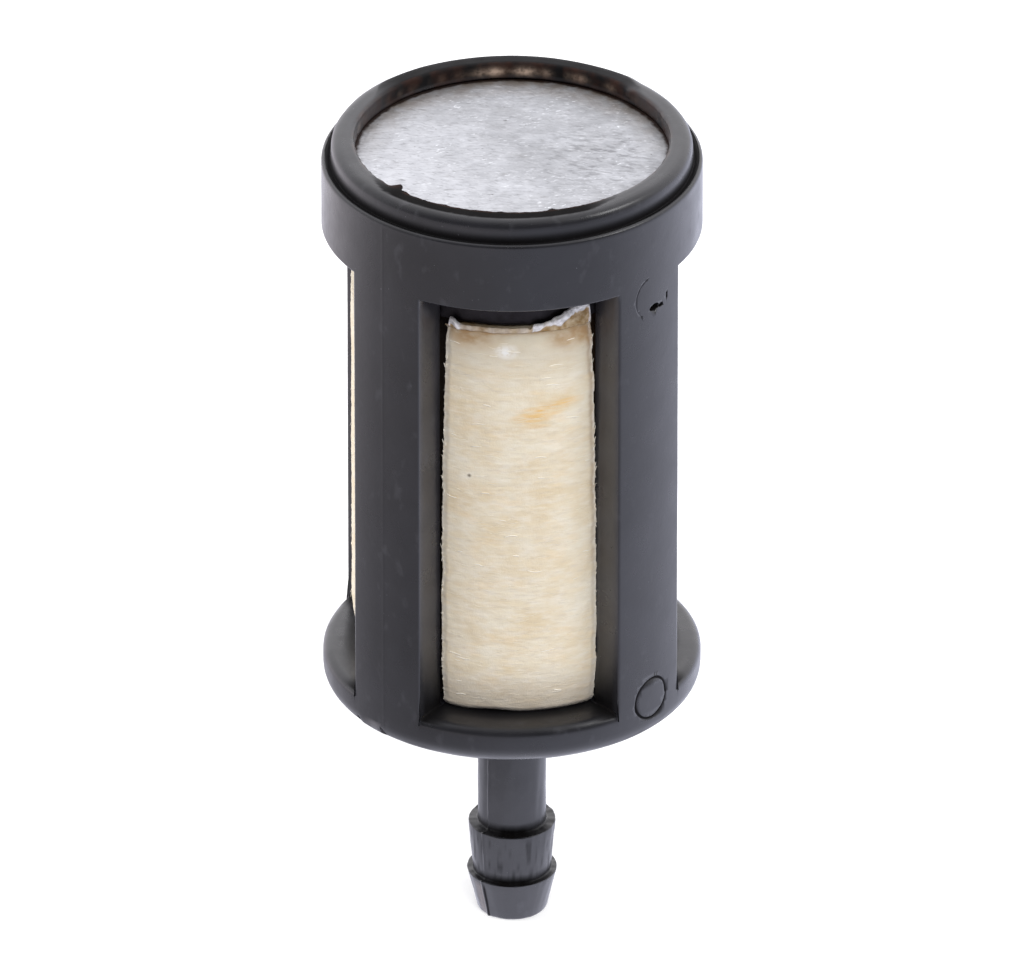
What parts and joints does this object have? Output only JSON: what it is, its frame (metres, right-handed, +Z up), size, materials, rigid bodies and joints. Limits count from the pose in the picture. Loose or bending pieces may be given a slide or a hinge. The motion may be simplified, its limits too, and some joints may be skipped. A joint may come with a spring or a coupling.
{
  "type": "fuel filter",
  "caption": "In-tank fuel filter for a small engine: a felt sleeve in a windowed nylon cage, with a metal weight under a rolled lip and a barbed hose spigot.",
  "frame": {"origin": "centre of the spigot's tip, the lowest point when the filter stands upright", "axes": "+Z up the filter's axis, from the spigot's tip to the weight. +X, +Y, -X and -Y each look out through a window."},
  "size_m": [0.019, 0.019, 0.044],
  "materials": {
    "black_nylon": "satin",
    "soft_metal": "satin",
    "cream_felt": "matte",
    "screen_mesh": "matte",
    "core_nylon": "satin"
  },
  "bodies": {
    "root": {"cage_body": "black_nylon", "weight_slug": "soft_metal", "felt_sleeve": "cream_felt", "core_screen": "screen_mesh", "support_core": "core_nylon"}
  },
  "joints": []
}
